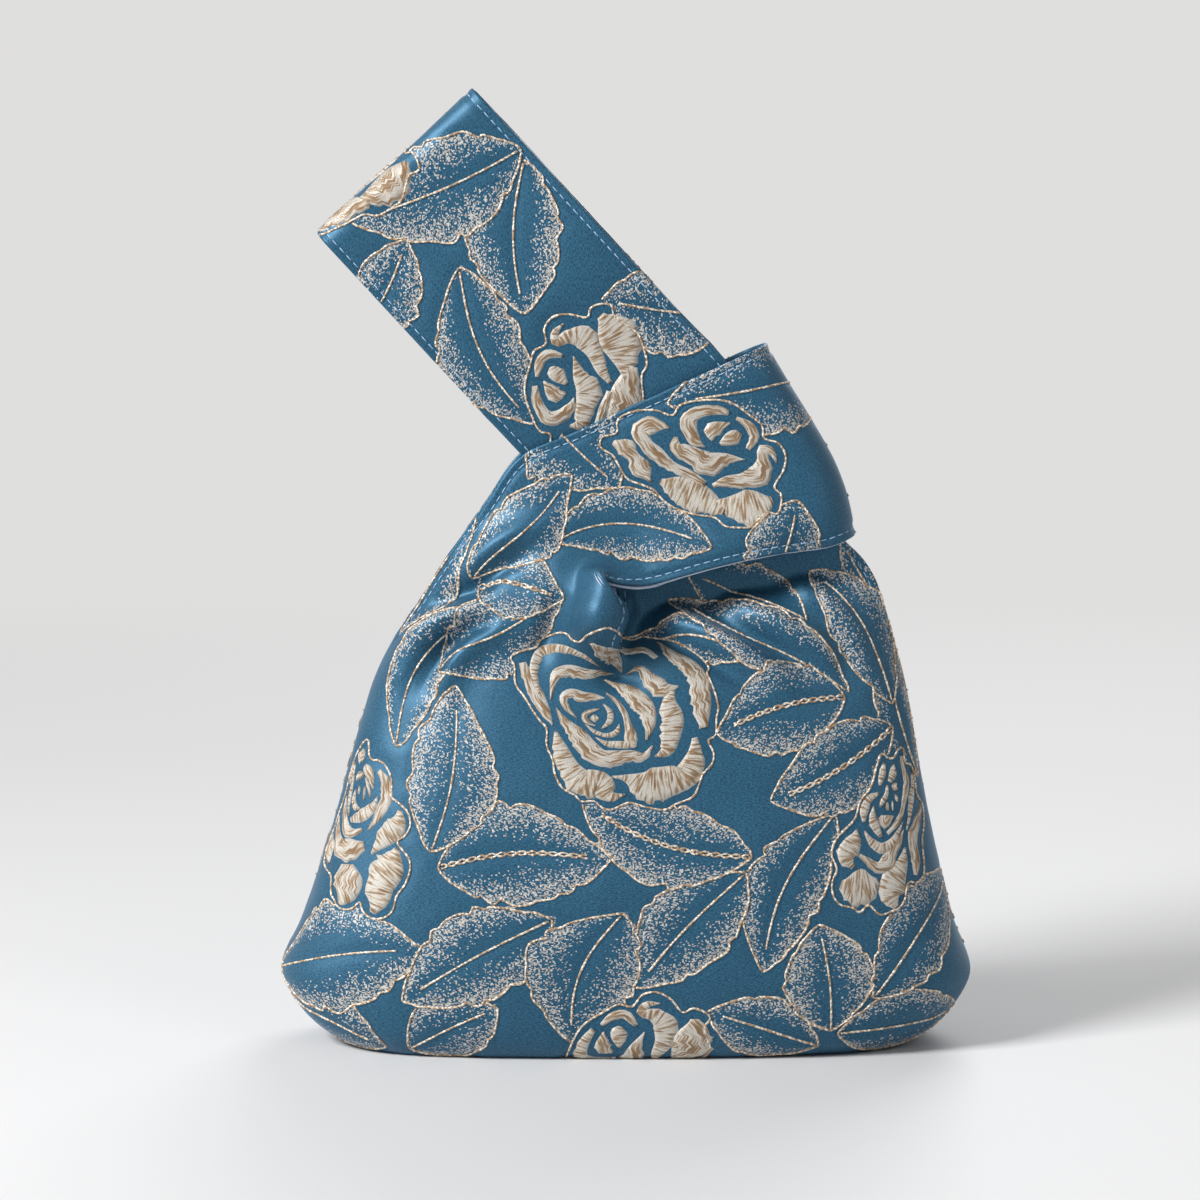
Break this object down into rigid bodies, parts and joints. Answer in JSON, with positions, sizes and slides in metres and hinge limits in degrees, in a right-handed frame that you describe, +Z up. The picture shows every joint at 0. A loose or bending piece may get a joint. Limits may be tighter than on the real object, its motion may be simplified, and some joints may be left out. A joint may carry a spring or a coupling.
{
  "type": "knot bag",
  "caption": "Small soft knot bag of blue and gold brocade with a pale lining, a boxed base, and a long strap loop drawn through a short one to close it.",
  "frame": {"origin": "middle of the base, on the floor", "axes": "+Z up, +X to the right of the front, +Y to the back, so the front faces -Y"},
  "size_m": [0.234, 0.0862, 0.3252],
  "materials": {
    "brocade": "satin jacquard",
    "lining": "plain weave"
  },
  "bodies": {
    "root": {"outer_front_panel": "brocade", "outer_back_panel": "brocade", "lining_front_panel": "lining", "lining_back_panel": "lining"}
  },
  "joints": []
}
